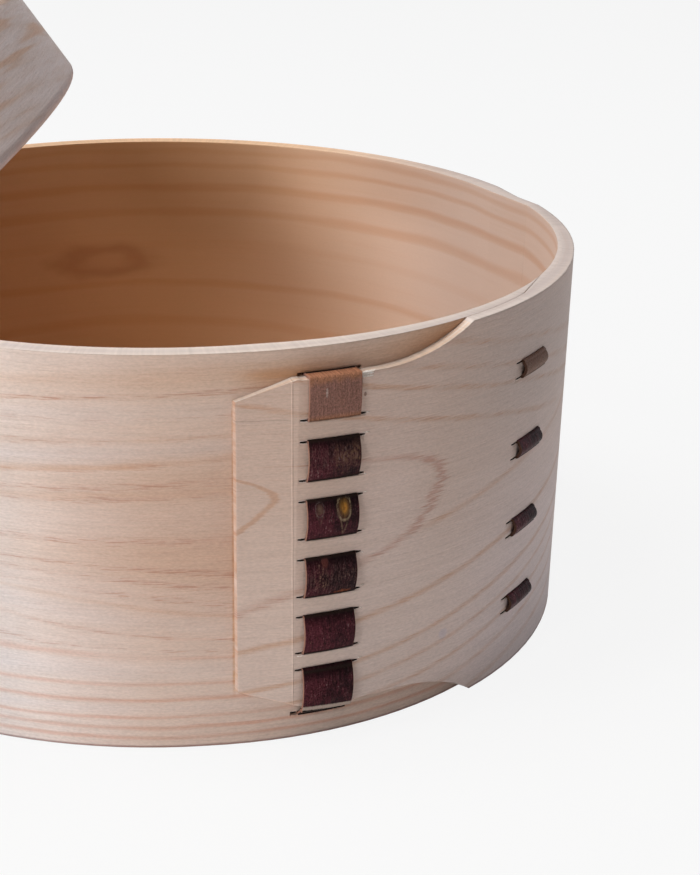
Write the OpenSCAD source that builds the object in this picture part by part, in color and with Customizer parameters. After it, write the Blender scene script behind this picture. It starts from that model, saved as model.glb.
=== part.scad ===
// Round bentwood food box: one strip of wood bent into a hoop, its ends lapped and laced with
// bark, a bottom plate set inside the hoop, and a shallow lid made the same way. The lid is off
// and leans on the rim. Millimetres, +Z up, origin on the box's axis at the base.
// Azimuths are in degrees, counter-clockwise seen from above; the front is at -90.

/* [Box] */
// Outer radius of the hoop away from the lap
box_r = 70; // [60:0.5:90]
// Height of the hoop
box_h = 63.2; // [54:0.2:80]
// Thickness of the strip
box_wall = 3.2; // [2.6:0.1:4]
// Thickness of the bottom plate
bottom_t = 6; // [4:0.5:8]

/* [Lap] */
// Azimuth of the middle of the lap
lap_az = -44; // [-50:1:-40]
// How far the outer layer stands out of the circle at the middle of the lap
lap_out = 2.55; // [2.2:0.05:3.2]
// Azimuth where the lap begins, just past the end of the tongue
seam_start_az = -84; // [-86:0.5:-83]
// Azimuth where the seam stands out most
seam_az = -50; // [-54:1:-46]
// How far the seam between the two layers stands out of the circle
seam_out = 0.6; // [0.4:0.02:1.2]
// Glue line between the two layers
seam_gap = 0.06; // [0.05:0.01:0.12]
// Azimuth where the hidden inner end starts to feather out
feather_start_az = -36; // [-38:0.5:-33]
// Azimuth where the hidden inner end has run out
feather_end_az = -24; // [-26:0.5:-22]
// Azimuth where the inner face swings out most
hollow_az = -17; // [-20:1:-14]
// Angle on either side over which the inner face swings out
hollow_span = 60; // [56:1:64]
// How far the inner face swings out of its circle
hollow_out = 2.44; // [2:0.02:2.6]
// Azimuth of the shoulder where the strip steps out of the circle
shoulder_az = 10.5; // [8:0.5:12]
// How far the shoulder stands out of the circle
shoulder_out = 0.8; // [0.5:0.05:1.2]
// Azimuth of the crease behind the shoulder
crease_az = 15.5; // [14:0.5:17]
// How far the crease dips inside the circle
crease_in = 0.5; // [0.2:0.05:0.8]
// Azimuth where the inner face is back on its circle
step_az = 20; // [18:0.5:21]
// Azimuth where the outer face is back on its circle
crease_end_az = 22.5; // [21:0.5:26]

/* [Tongue] */
// Azimuth of the tongue's cutting direction, about the lap's own centre
tongue_az = -65; // [-67:0.5:-63]
// Distance from there to the tongue's end
tongue_end = 21; // [19:0.1:22]
// How much shorter the tongue is at its lower corner
tongue_lean = 0.75; // [0:0.05:1.5]
// Thickness of the tongue at its thinned end
tongue_tip = 0.9; // [0.6:0.05:1.3]
// Rim left above the tongue on the box
tongue_top_margin = 4.2; // [3:0.1:6]
// Rim left below the tongue on the box
tongue_low_margin = 5.75; // [4:0.05:7]
// Length of the corner cut at the tongue's upper corner
upper_corner_l = 8.4; // [5:0.1:10]
// Depth of the corner cut at the tongue's upper corner
upper_corner_d = 2.9; // [1:0.1:4]
// Length of the corner cut at the tongue's lower corner
lower_corner_l = 11.2; // [5:0.1:12]
// Depth of the corner cut at the tongue's lower corner
lower_corner_d = 3.6; // [1:0.1:5]
// Radius of the upper swoop, which widens the tongue to the rim
upper_swoop_r = 38.4; // [30:0.2:46]
// Where the upper swoop starts, past the cutting direction
upper_swoop_at = 0.5; // [-3:0.1:3]
// Radius of the lower swoop, which widens the tongue to the base
lower_swoop_r = 29; // [22:0.5:36]
// Where the lower swoop starts, past the cutting direction
lower_swoop_at = 4.4; // [0:0.1:6]

/* [Bark lacing] */
// Thickness of the bark strip
bark_t = 0.45; // [0.4:0.05:0.7]
// Room above and below the strip in its slot
slot_room = 0.06; // [0.05:0.01:0.15]
// Length of slot past each edge of the strip
slot_over = 1.15; // [0.6:0.05:1.6]
// How far the strip's ends are trimmed short of the inner face
end_trim = 0.3; // [0.1:0.05:0.6]
// Drop of the lowest front slot below the tongue's edge
slot_drop = 1.3; // [0.8:0.1:1.6]
// Azimuth of the front column about the lap's own centre
front_az = -70.75; // [-72:0.25:-69]
// Width of the front strip
front_w = 8.1; // [6:0.1:9.5]
// Number of stitches on the box's front column
front_n = 6; // [5:1:7]
// Wood left between two front stitches
front_bridge = 2.9; // [2.4:0.1:3.6]
// Hollow under the middle of a front stitch
front_bulge = 0.6; // [0.4:0.05:1]
// How much taller the lowest front stitch is
last_rise = 0.5; // [0:0.05:0.7]
// Hollow under the middle of a locking stitch
lock_bulge = 0.15; // [0.1:0.05:0.5]
// Azimuth of the side column about the lap's own centre
side_az = -35.1; // [-36:0.1:-33]
// Width of the side strip
side_w = 7.7; // [6:0.1:8.5]
// How far round the side slots sit off the middle of their strip
side_slip = 0.5; // [0:0.1:0.6]
// Number of stitches on the box's side column
side_n = 4; // [3:1:5]
// Height of a side stitch
side_stitch = 3; // [2.8:0.1:4.5]
// Hollow under the middle of a side stitch
side_bulge = 0.45; // [0.2:0.05:0.6]
// From the rim to the top side stitch
side_top_margin = 9.6; // [8:0.1:12]
// From the base to the lowest side stitch
side_low_margin = 10.1; // [8:0.1:12]

/* [Lid] */
// Thickness of the lid's strip
lid_wall = 2.8; // [2.6:0.1:3.6]
// How far the lid reaches down over the box
lid_skirt = 13.8; // [12:0.2:18]
// Thickness of the lid's top plate
lid_top_t = 6; // [4:0.5:8]
// Room around the box inside the lid
lid_fit = 0.6; // [0.3:0.05:0.8]
// Rim left above and below the tongue on the lid
lid_margin = 3; // [2.4:0.1:3.6]
// Number of stitches on the lid's front column
lid_front_n = 2; // [2:1:2]
// Number of stitches on the lid's side column
lid_side_n = 2; // [2:1:2]
// From the lid's edges to its side stitches
lid_side_margin = 3.6; // [3:0.1:4.5]
// Rounding of the lid's outer edges
lid_edge_r = 1.9; // [0.8:0.1:2]

/* [Leaning lid] */
// Tilt of the lid
lid_tilt = 36.3; // [33:0.1:40]
// Azimuth of the rim's point that the lid leans on
lean_az = 178; // [170:1:190]
// Turn of the lid about its own axis
lid_spin = -70; // [-90:1:-60]
// Room between the lid and the rim
rest_gap = 0.45; // [0.3:0.05:0.6]

/* [Fits] */
// Room around the plates set into the hoops
plate_fit = 0.05; // [0.03:0.01:0.1]
// Room between the bark and the faces that it lies on
bark_fit = 0.1; // [0.08:0.01:0.2]

/* [Hidden] */
$fn = 128;
far = 200;
wedge_steps = 6;
tongue_reach = 48;
slot_bite = 0.1;
swoop_dip = 0.02;
round_dip = 0.01;
box_in_r = box_r - box_wall;
lid_in_r = box_r + (lap_out + front_bulge + bark_t) / 2 + lid_fit;
lid_r = lid_in_r + lid_wall;
lid_h = lid_skirt + lid_top_t;
wood = "#e6cfb4";
dark_bark = "#4a2a26";
smooth_bark = "#96685a";

// A length to the nearest two micrometres
function snap(x) = round(500 * x) / 500;

// Unit vector of an azimuth
function dir(a) = [cos(a), sin(a)];

// How far the centre of a circle shifts so that it stands at r_mid in the middle
// and at r_side at an angle of span to either side
function bow(r_side, r_mid, span) =
    (r_mid * r_mid - r_side * r_side) / (2 * (r_mid - r_side * cos(span)));

// A bowed circle as [centre, radius]
function bowed(az, r_side, r_mid, span) =
    let (shift = bow(r_side, r_mid, span))
    [shift * dir(az), r_mid - shift];

// Outer face of the lap, seam between its layers, and inner face, for a hoop of radius r
function back_circle(r) = bowed(lap_az, r + shoulder_out, r + lap_out, shoulder_az - lap_az);
function seam_circle(r) = bowed(seam_az, r, r + seam_out, seam_az - seam_start_az);
function hollow_circle(r_in) = bowed(hollow_az, r_in, r_in + hollow_out, hollow_span);

// Distance from a point to a circle along an azimuth
function reach(point, circ, a) =
    let (
        d = circ[0] - point,
        along = d * dir(a),
        across = d[0] * sin(a) - d[1] * cos(a)
    )
    along + sqrt(circ[1] * circ[1] - across * across);

// Distance from the lap's centre to the inner face along an azimuth
function inner_reach(r, r_in, a) =
    let (centre = back_circle(r)[0])
    max(reach(centre, hollow_circle(r_in), a), reach(centre, [[0, 0], r_in], a));

// Least of those over the width of a strip
function inner_seat(r, r_in, az, half) =
    min([for (k = [-1 : 1]) inner_reach(r, r_in, az + k * half)]);

// Angle that an arc of length w takes on the lap's outer face
function arc_angle(r, w) = w / back_circle(r)[1] * 180 / PI;

// Heights [low, high] of the front stitches, top one first; the first and last reach over
// the tongue's edges
function front_stitches(h, top_margin, low_margin, n) =
    let (
        top = h - top_margin,
        pitch = (top - low_margin + front_bridge) / n,
        over = bark_t + slot_room - slot_bite,
        under = bark_t + bark_fit
    )
    [for (k = [0 : n - 1]) [
        snap(k == n - 1 ? low_margin - under : top - (k + 1) * pitch + front_bridge),
        snap(k == 0 ? top + over : top - k * pitch + (k == n - 1 ? last_rise : 0))
    ]];

// Where the strip lies in its slots: the lowest front slot is below the stitch that it ends
function slot_heights(stitches, drop) =
    let (last = len(stitches) - 1)
    [for (k = [0 : last]) each [
        stitches[k][0] - (k == last ? drop : 0),
        stitches[k][1] - bark_t
    ]];

// Heights [low, high] of the side stitches, top one first
function side_stitches(h, top_margin, low_margin, n) =
    let (pitch = (h - top_margin - low_margin - side_stitch) / (n - 1))
    [for (k = [0 : n - 1]) [
        snap(h - top_margin - k * pitch - side_stitch),
        snap(h - top_margin - k * pitch)
    ]];

box_front = front_stitches(box_h, tongue_top_margin, tongue_low_margin, front_n);
box_side = side_stitches(box_h, side_top_margin, side_low_margin, side_n);
lid_front = front_stitches(lid_h, lid_margin, lid_margin, lid_front_n);
lid_side = side_stitches(lid_h, lid_side_margin, lid_side_margin, lid_side_n);

module wedge(a0, a1) {
    polygon(concat(
        [[0, 0]],
        [for (k = [0 : wedge_steps]) far * dir(a0 + (a1 - a0) * k / wedge_steps)]
    ));
}

module disc(circ, grow = 0) {
    translate(circ[0]) circle(r = circ[1] + grow);
}

// Everything outside the straight line that runs through two points, past both of them
module beyond_line(a, b, past) {
    run = b - a;
    start = a - past * run;
    end = b + past * run;
    out = far / norm(run) * [run[1], -run[0]];
    polygon([start, end, end + out, start + out]);
}

// Space inside a hoop, drawn in by inset
module hollow_plan(r_in, inset = 0) {
    shoulder_in = reach([0, 0], hollow_circle(r_in), shoulder_az);
    circle(r = r_in - inset);
    difference() {
        intersection() {
            disc(hollow_circle(r_in), -inset);
            wedge(hollow_az - hollow_span - 12, step_az + 4);
        }
        beyond_line((shoulder_in - inset) * dir(shoulder_az), (r_in - inset) * dir(step_az), 1);
    }
}

// Outer outline of a hoop with its lap, shoulder and crease
module outer_plan(r) {
    shoulder = (r + shoulder_out) * dir(shoulder_az);
    crease = (r - crease_in) * dir(crease_az);
    crease_end = r * dir(crease_end_az);
    difference() {
        union() {
            circle(r = r);
            intersection() {
                disc(back_circle(r));
                wedge(seam_start_az - 6, crease_az + 3);
            }
        }
        polygon([
            crease,
            2 * crease_end - crease,
            2 * crease_end,
            2 * shoulder,
            2 * shoulder - crease
        ]);
        thinning(r);
    }
}

// What is planed off the outer face towards the tongue's end
module thinning(r) {
    back = back_circle(r);
    start_az = tongue_az - asin((tongue_end - upper_corner_l - 0.3) / back[1]);
    end_az = tongue_az - asin(tongue_end / back[1]);
    tip = reach(back[0], seam_circle(r), end_az) + seam_gap + tongue_tip;
    beyond_line(back[0] + tip * dir(end_az), back[0] + back[1] * dir(start_az), 0.3);
}

// Glue line: along the seam, then slanting in to where the inner end has run out
module seam_plan(r, r_in) {
    start_r = reach([0, 0], seam_circle(r), feather_start_az);
    end_r = reach([0, 0], hollow_circle(r_in), feather_end_az) - 3 * seam_gap;
    intersection() {
        difference() {
            disc(seam_circle(r), seam_gap);
            disc(seam_circle(r));
        }
        wedge(seam_start_az + 1, feather_start_az + 0.05);
    }
    polygon([
        (start_r - seam_gap / 2) * dir(feather_start_az),
        (start_r + 1.5 * seam_gap) * dir(feather_start_az),
        (end_r + seam_gap) * dir(feather_end_az),
        end_r * dir(feather_end_az)
    ]);
}

// Side view of what is kept of the outer layer: the tongue with its cut corners and swoops
module tongue_outline(r, h, top_margin, low_margin) {
    top = h - top_margin;
    polygon([
        [tongue_lean - tongue_end, low_margin + lower_corner_d],
        [-tongue_end, top - upper_corner_d],
        [upper_corner_l - tongue_end, top],
        [r, top],
        [r, low_margin],
        [lower_corner_l - tongue_end, low_margin]
    ]);
    difference() {
        translate([upper_swoop_at, top - 1]) square([r, top_margin + 3]);
        translate([upper_swoop_at, top + upper_swoop_r - swoop_dip]) circle(r = upper_swoop_r);
    }
    difference() {
        translate([lower_swoop_at, -2]) square([r, low_margin + 3]);
        translate([lower_swoop_at, low_margin - lower_swoop_r + swoop_dip]) circle(r = lower_swoop_r);
    }
}

// Turns a side view to the tongue's cutting direction
module toward_tongue(r) {
    translate(back_circle(r)[0]) rotate(tongue_az) rotate([90, 0, 90]) children();
}

// What is cut from the outer layer around the tongue
module tongue_cut(r, h, top_margin, low_margin) {
    difference() {
        translate([0, 0, -1]) linear_extrude(h + 2) difference() {
            intersection() {
                disc(back_circle(r), 1);
                wedge(seam_start_az - tongue_reach / 2, tongue_az + tongue_reach / 2);
            }
            disc(seam_circle(r));
            circle(r = r);
        }
        toward_tongue(r) linear_extrude(far) tongue_outline(r, h, top_margin, low_margin);
    }
}

// A ring segment about the lap's centre with a drawn section, w wide along the lap
module along_lap(r, az, w) {
    angle = arc_angle(r, w);
    translate(back_circle(r)[0]) rotate(az - angle / 2) rotate_extrude(angle = angle) children();
}

// Slots for one column of stitches, at the heights where the strip passes through
module slots(r, r_in, az, w, heights) {
    deep = inner_seat(r, r_in, az, arc_angle(r, w)) - box_wall;
    slot_h = bark_t + 2 * slot_room;
    along_lap(r, az, w + 2 * slot_over)
        for (z = heights)
            translate([deep, z - slot_room]) square([back_circle(r)[1] - deep + box_wall, slot_h]);
}

// One bark strip laced through the stitches first to last; below the last one it drops to its slot
module lacing(r, r_in, az, w, stitches, bulge, first, last, drop = 0) {
    face = snap(back_circle(r)[1] + bark_fit);
    seat = snap(inner_seat(r, r_in, az, arc_angle(r, w) / 2) - bark_fit);
    trimmed = seat + bark_fit + end_trim;
    bend = snap(reach(back_circle(r)[0], seam_circle(r), az)) + bark_fit;
    along_lap(r, az, w) {
        for (k = [first : last]) {
            low = stitches[k][0];
            high = stitches[k][1];
            high_leg = k == first ? trimmed : seat - bark_t;
            if (k == last && drop > 0) {
                stitch(face, low, high, bulge, face, high_leg);
                hanging_leg(face, low, bend, low - drop, trimmed);
            } else {
                stitch(face, low, high, bulge, k == last ? trimmed : seat - bark_t, high_leg);
            }
        }
        for (k = [first : 1 : last - 1]) {
            from = stitches[k + 1][1] - bark_t;
            to = stitches[k][0] + bark_t;
            translate([seat - bark_t, from]) square([bark_t, to - from]);
        }
    }
}

// Section of one stitch: a bow between two rounded corners, and two legs into the wood; a leg
// that ends at the face is left out
module stitch(face, low, high, bulge, low_leg, high_leg) {
    middle = (high - low) / 2;
    half = middle - bark_t;
    arc_r = (half * half + bulge * bulge) / (2 * bulge);
    inside = min(low_leg, high_leg) - 1;
    root = face + 0.15 * bark_t;
    difference() {
        union() {
            crown(face, bark_t + bulge, arc_r, low + 0.7 * bark_t, high - 0.7 * bark_t);
            for (z = [low + bark_t, high - bark_t])
                translate([face, z]) circle(r = bark_t + round_dip);
            if (low_leg < face) translate([low_leg, low]) square([face - low_leg, middle]);
            translate([high_leg, low + middle / 2]) square([face - high_leg, 1.5 * middle]);
        }
        crown(face, bulge, arc_r - bark_t, low + 1.1 * bark_t, high - 1.1 * bark_t);
        translate([inside, low + bark_t]) square([root - inside, 2 * half]);
    }
}

// Section of a leg that slants down under the tongue's edge and then lies in its slot
module hanging_leg(face, from, bend, to, end) {
    skin = bark_t / 9;
    polygon([
        [face - bark_t / 4, from + skin],
        [face - bark_t / 4, from + bark_t - skin],
        [bend, to + bark_t - skin],
        [bend, to + skin]
    ]);
    translate([end, to]) square([bend + 0.6 * bark_t - end, bark_t]);
}

// The part of a circle past the face, out to rise beyond it, between the heights low and high
module crown(face, rise, arc_r, low, high) {
    intersection() {
        translate([face + rise - arc_r, (low + high) / 2]) circle(r = arc_r);
        translate([face - bark_t / 5, low]) square([far, high - low]);
    }
}

// A hoop with its lap, tongue and slots
module lapped_hoop(r, wall, h, top_margin, low_margin, front, side) {
    difference() {
        linear_extrude(h) difference() {
            outer_plan(r);
            hollow_plan(r - wall);
            seam_plan(r, r - wall);
        }
        tongue_cut(r, h, top_margin, low_margin);
        slots(r, r - wall, front_az, front_w, slot_heights(front, slot_drop));
        slots(r, r - wall, side_az - side_slip, side_w, slot_heights(side, 0));
    }
}

// Removes the outer corners of a ring of height h between two azimuths
module edge_rounding(circ, h, a0, a1) {
    corner = circ[1] - lid_edge_r;
    translate(circ[0]) rotate(a0) rotate_extrude(angle = a1 - a0)
        for (up = [0, 1])
            translate([0, up * h]) mirror([0, up]) difference() {
                translate([corner, -1]) square([lid_edge_r + 1, lid_edge_r + 1]);
                translate([corner + round_dip, lid_edge_r - round_dip]) circle(r = lid_edge_r);
            }
}

// Puts the lid, made with its mouth on the plane z = 0, on the table with its plate on the rim
module leaning() {
    rise = (lid_r - lid_edge_r) * sin(lid_tilt) + lid_edge_r * (1 - cos(lid_tilt));
    away = box_r - (lid_skirt - rest_gap - (box_h - rise) * cos(lid_tilt)) / sin(lid_tilt);
    rotate(lean_az - 180) translate([-away, 0, rise]) rotate([0, -lid_tilt, 0])
        rotate(lid_spin) children();
}

module box_hoop() {
    color(wood)
        lapped_hoop(box_r, box_wall, box_h, tongue_top_margin, tongue_low_margin, box_front, box_side);
}

module box_bottom() {
    color(wood) linear_extrude(bottom_t) hollow_plan(box_in_r, plate_fit);
}

module box_front_lacing() {
    color(dark_bark)
        lacing(box_r, box_in_r, front_az, front_w, box_front, front_bulge, 1, front_n - 1, slot_drop);
}

module box_front_lock() {
    color(smooth_bark) lacing(box_r, box_in_r, front_az, front_w, box_front, lock_bulge, 0, 0);
}

module box_side_lacing() {
    color(dark_bark) lacing(box_r, box_in_r, side_az, side_w, box_side, side_bulge, 1, side_n - 1);
}

module box_side_lock() {
    color(smooth_bark) lacing(box_r, box_in_r, side_az, side_w, box_side, side_bulge, 0, 0);
}

module lid_hoop() {
    color(wood) leaning() difference() {
        lapped_hoop(lid_r, lid_wall, lid_h, lid_margin, lid_margin, lid_front, lid_side);
        edge_rounding([[0, 0], lid_r], lid_h, crease_end_az + 2, seam_start_az + 357);
        edge_rounding(back_circle(lid_r), lid_h, tongue_az + tongue_reach / 2, shoulder_az);
    }
}

module lid_top() {
    color(wood) leaning() translate([0, 0, lid_skirt])
        linear_extrude(lid_top_t) hollow_plan(lid_in_r, plate_fit);
}

module lid_front_lacing() {
    color(dark_bark) leaning()
        lacing(lid_r, lid_in_r, front_az, front_w, lid_front, front_bulge, 1, lid_front_n - 1, slot_drop);
}

module lid_front_lock() {
    color(smooth_bark) leaning()
        lacing(lid_r, lid_in_r, front_az, front_w, lid_front, lock_bulge, 0, 0);
}

module lid_side_lacing() {
    color(dark_bark) leaning()
        lacing(lid_r, lid_in_r, side_az, side_w, lid_side, side_bulge, 1, lid_side_n - 1);
}

module lid_side_lock() {
    color(smooth_bark) leaning() lacing(lid_r, lid_in_r, side_az, side_w, lid_side, side_bulge, 0, 0);
}

box_hoop();
box_bottom();
box_front_lacing();
box_front_lock();
box_side_lacing();
box_side_lock();
lid_hoop();
lid_top();
lid_front_lacing();
lid_front_lock();
lid_side_lacing();
lid_side_lock();
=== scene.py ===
"""Looks for a round bentwood food box: wood grain, bark lacing, studio light and the camera."""

import math

import bpy
from mathutils import Euler, Matrix, Vector


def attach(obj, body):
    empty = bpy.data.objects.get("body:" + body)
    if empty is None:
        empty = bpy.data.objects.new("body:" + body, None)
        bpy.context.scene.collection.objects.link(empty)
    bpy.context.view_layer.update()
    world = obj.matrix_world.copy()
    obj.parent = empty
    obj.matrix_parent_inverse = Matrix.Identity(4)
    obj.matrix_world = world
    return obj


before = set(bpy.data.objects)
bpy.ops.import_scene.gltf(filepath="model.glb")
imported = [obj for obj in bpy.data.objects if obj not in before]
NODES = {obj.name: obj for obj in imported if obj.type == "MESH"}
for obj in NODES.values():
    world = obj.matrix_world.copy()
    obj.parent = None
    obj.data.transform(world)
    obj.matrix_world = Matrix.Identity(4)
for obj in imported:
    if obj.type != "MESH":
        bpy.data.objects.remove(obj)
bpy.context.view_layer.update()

MM = 0.001

# The box's driving sizes, in millimetres and degrees, as the CAD has them.
BOX_R, BOX_WALL, BOX_H = 70.0, 3.2, 63.2
LAP_AZ, LAP_OUT = -44.0, 2.55
SHOULDER_AZ, SHOULDER_OUT = 10.5, 0.8
SEAM_AZ, SEAM_START_AZ, SEAM_OUT = -50.0, -84.0, 0.6
HOLLOW_AZ, HOLLOW_SPAN, HOLLOW_OUT = -17.0, 60.0, 2.44
INNER_END_AZ, STEP_AZ = -24.0, 20.0
FRONT_AZ, FRONT_W = -70.75, 8.1
SIDE_AZ, SIDE_W = -35.1, 7.7
BARK_T, SLOT_ROOM = 0.45, 0.06
LID_R, LID_WALL = 75.2, 2.8
LID_MOUTH = (-73.865, 2.579, 43.763)
LID_TURN = (-2.0, -36.3, -70.0)

# Distances along the lap start at LAP_ZERO_AZ on its outer circle. TONGUE_TURN is where the tongue ends,
# counted along the strip.
LAP_ZERO_AZ = -85.0
TONGUE_TURN = 274.0
DEG_MM = BOX_R * math.pi / 180

# Camera, from circles fitted to the rim and the base in the photograph: pitch in degrees, turn in radians.
FRAME_W, FRAME_H = 700, 875
FOCAL_PX = 1887.83
AXIS_X_PX = 192.15
CAM_AT = (0.0, -320.82, 149.09)
CAM_PITCH, CAM_TURN = 21.406, 0.02
SENSOR = 36.0


def bowed(az, r_side, r_mid, span):
    """Centre and radius of a circle that stands at r_mid at az and at r_side span degrees away."""
    shift = (r_mid**2 - r_side**2) / (2 * (r_mid - r_side * math.cos(math.radians(span))))
    turn = math.radians(az)
    return (shift * math.cos(turn), shift * math.sin(turn)), r_mid - shift


def lap_circles(r, wall):
    """The lap's outer face, its seam and the hoop's inner face for a hoop of radius r."""
    return (
        bowed(LAP_AZ, r + SHOULDER_OUT, r + LAP_OUT, SHOULDER_AZ - LAP_AZ),
        bowed(SEAM_AZ, r, r + SEAM_OUT, SEAM_AZ - SEAM_START_AZ),
        bowed(HOLLOW_AZ, r - wall, r - wall + HOLLOW_OUT, HOLLOW_SPAN),
    )


class Field:
    """A shader value. Arithmetic on it adds Math nodes to its tree."""

    def __init__(self, tree, socket):
        self.tree, self.socket = tree, socket

    def math(self, operation, *others):
        node = self.tree.nodes.new("ShaderNodeMath")
        node.operation = operation
        for k, value in enumerate((self, *others)):
            plug(self.tree, value, node.inputs[k])
        return Field(self.tree, node.outputs[0])

    def __add__(self, other):
        return self.math("ADD", other)

    def __sub__(self, other):
        return self.math("SUBTRACT", other)

    def __mul__(self, other):
        return self.math("MULTIPLY", other)

    def __truediv__(self, other):
        return self.math("DIVIDE", other)

    def __rsub__(self, other):
        return (self * -1.0) + other

    __radd__, __rmul__ = __add__, __mul__

    def above(self, level):
        return self.math("GREATER_THAN", level)

    def below(self, level):
        return self.math("LESS_THAN", level)

    def size(self):
        return self.math("ABSOLUTE")

    def fade(self, start, end):
        """0 at start, 1 at end, smooth between."""
        node = self.tree.nodes.new("ShaderNodeMapRange")
        node.interpolation_type = "SMOOTHSTEP"
        plug(self.tree, self, node.inputs["Value"])
        for name, value in zip(("From Min", "From Max"), (start, end)):
            node.inputs[name].default_value = value
        return Field(self.tree, node.outputs["Result"])

    def bump(self, middle, half):
        """1 at middle, 0 beyond half on either side."""
        return ((self - middle).size() / half).fade(1.0, 0.0)

    def wrapped(self, start):
        """Degrees brought into the full turn that begins at start."""
        return (self - start).math("FLOORED_MODULO", 360.0) + start


def plug(tree, value, socket):
    """Links a field to a socket, or sets the socket to a plain value."""
    if isinstance(value, Field):
        tree.links.new(value.socket, socket)
    else:
        socket.default_value = value


def oval(u, z, at, half):
    """Squared distance from an oval's middle, 1 on its outline."""
    across, up = (u - at[0]) / half[0], (z - at[1]) / half[1]
    return across * across + up * up


class Shader:
    """A material under construction."""

    def __init__(self, name):
        self.material = bpy.data.materials.new(name)
        self.material.use_nodes = True
        self.tree = self.material.node_tree
        self.tree.nodes.clear()
        self.out = self.tree.nodes.new("ShaderNodeOutputMaterial")

    def node(self, kind, **settings):
        made = self.tree.nodes.new(kind)
        for key, value in settings.items():
            setattr(made, key, value)
        return made

    def object_mm(self, placed=None):
        """Object coordinates in millimetres, in the frame that placed takes to the shared frame."""
        place = self.node("ShaderNodeTexCoord").outputs["Object"]
        if placed is not None:
            back = self.node("ShaderNodeMapping", vector_type="TEXTURE")
            back.inputs["Location"].default_value = placed.to_translation()
            back.inputs["Rotation"].default_value = placed.to_euler()
            self.tree.links.new(place, back.inputs["Vector"])
            place = back.outputs["Vector"]
        split = self.node("ShaderNodeSeparateXYZ")
        self.tree.links.new(place, split.inputs[0])
        return [Field(self.tree, s) * (1 / MM) for s in split.outputs]

    def object_normal(self):
        """The surface's direction in object coordinates."""
        split = self.node("ShaderNodeSeparateXYZ")
        self.tree.links.new(self.node("ShaderNodeTexCoord").outputs["Normal"], split.inputs[0])
        return [Field(self.tree, s) for s in split.outputs]

    def azimuth(self, x, y, centre=(0.0, 0.0)):
        """Degrees around a centre."""
        return (y - centre[1]).math("ARCTAN2", x - centre[0]) * (180 / math.pi)

    def radius(self, x, y, centre=(0.0, 0.0)):
        dx, dy = x - centre[0], y - centre[1]
        return (dx * dx + dy * dy).math("SQRT")

    def point(self, x, y, z):
        made = self.node("ShaderNodeCombineXYZ")
        for k, value in enumerate((x, y, z)):
            plug(self.tree, value, made.inputs[k])
        return Field(self.tree, made.outputs[0])

    def noise(self, x, y, z, detail, rough=0.5):
        """Smooth noise about 0 at a point, mostly within one half either way."""
        made = self.node("ShaderNodeTexNoise")
        plug(self.tree, self.point(x, y, z), made.inputs["Vector"])
        made.inputs["Scale"].default_value = 1.0
        made.inputs["Detail"].default_value = detail
        made.inputs["Roughness"].default_value = rough
        return Field(self.tree, made.outputs["Fac"]) - 0.5

    def curve(self, at, points, base=0.0, span=1.0):
        """A smooth curve through (place, value) points, drawn for values from base to base + span."""
        made = self.node("ShaderNodeFloatCurve")
        line = made.mapping.curves[0]
        low, high = points[0][0], points[-1][0]
        for k, (place, value) in enumerate(points):
            spot = ((place - low) / (high - low), (value - base) / span)
            dot = line.points[k] if k < 2 else line.points.new(*spot)
            dot.location = spot
            dot.handle_type = "AUTO"
        made.mapping.use_clip = False
        made.mapping.update()
        plug(self.tree, (at - low) / (high - low), made.inputs["Value"])
        return Field(self.tree, made.outputs[0]) * span + base

    def mix(self, amount, a, b, blend="MIX"):
        made = self.node("ShaderNodeMix", data_type="RGBA", blend_type=blend)
        plug(self.tree, amount, made.inputs["Factor"])
        for name, value in (("A", a), ("B", b)):
            socket = next(s for s in made.inputs if s.name == name and s.type == "RGBA")
            plug(self.tree, (*value, 1.0) if isinstance(value, tuple) else value, socket)
        return Field(self.tree, next(s for s in made.outputs if s.type == "RGBA"))

    def painted(self, colour, layers):
        """Lays colours over a colour, each by its own amount."""
        for amount, paint in layers:
            colour = self.mix(amount, colour, paint)
        return colour

    def tinted(self, colour, layers):
        """Multiplies a colour by tints, each by its own amount."""
        for amount, tint in layers:
            colour = self.mix(amount.math("MAXIMUM", 0.0), colour, tint, "MULTIPLY")
        return colour

    def shaded(self, colour, gain):
        """Multiplies a colour by a grey field."""
        return self.mix(1.0, colour, self.point(gain, gain, gain), "MULTIPLY")

    def finish(self, colour, roughness, height, distance, specular=0.5, bevel=None):
        """Ends the material in one Principled shader with bump from a height field."""
        surface = self.node("ShaderNodeBsdfPrincipled")
        plug(self.tree, colour, surface.inputs["Base Color"])
        plug(self.tree, roughness, surface.inputs["Roughness"])
        surface.inputs["Specular IOR Level"].default_value = specular
        bump = self.node("ShaderNodeBump")
        bump.inputs["Distance"].default_value = distance
        plug(self.tree, height, bump.inputs["Height"])
        if bevel is not None:
            eased = self.node("ShaderNodeBevel", samples=4)
            eased.inputs["Radius"].default_value = bevel
            self.tree.links.new(eased.outputs[0], bump.inputs["Normal"])
        self.tree.links.new(bump.outputs["Normal"], surface.inputs["Normal"])
        self.tree.links.new(surface.outputs[0], self.out.inputs["Surface"])
        return self.material


# Wood colours, as linear reflectance.
# Paler wood towards the foot; further left the same colour carries painted sheen.
PALE_WOOD_AND_SHEEN = (0.715, 0.585, 0.515)
HEARTWOOD = (0.645, 0.49, 0.405)
INNER_WARM = (0.84, 0.49, 0.258)
# The lining's paler wood on the right, partly painted light where the lamps reach in.
INNER_PALE_AND_LIT = (0.70, 0.505, 0.395)
# The rim's middle, and a painted highlight along its edges.
EDGE_WOOD = (0.57, 0.48, 0.435)
EDGE_HIGHLIGHT = (0.655, 0.56, 0.50)
LID_PALE, LID_DARK = (0.685, 0.59, 0.575), (0.62, 0.505, 0.465)
PLATE_WOOD = (0.575, 0.45, 0.375)
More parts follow.
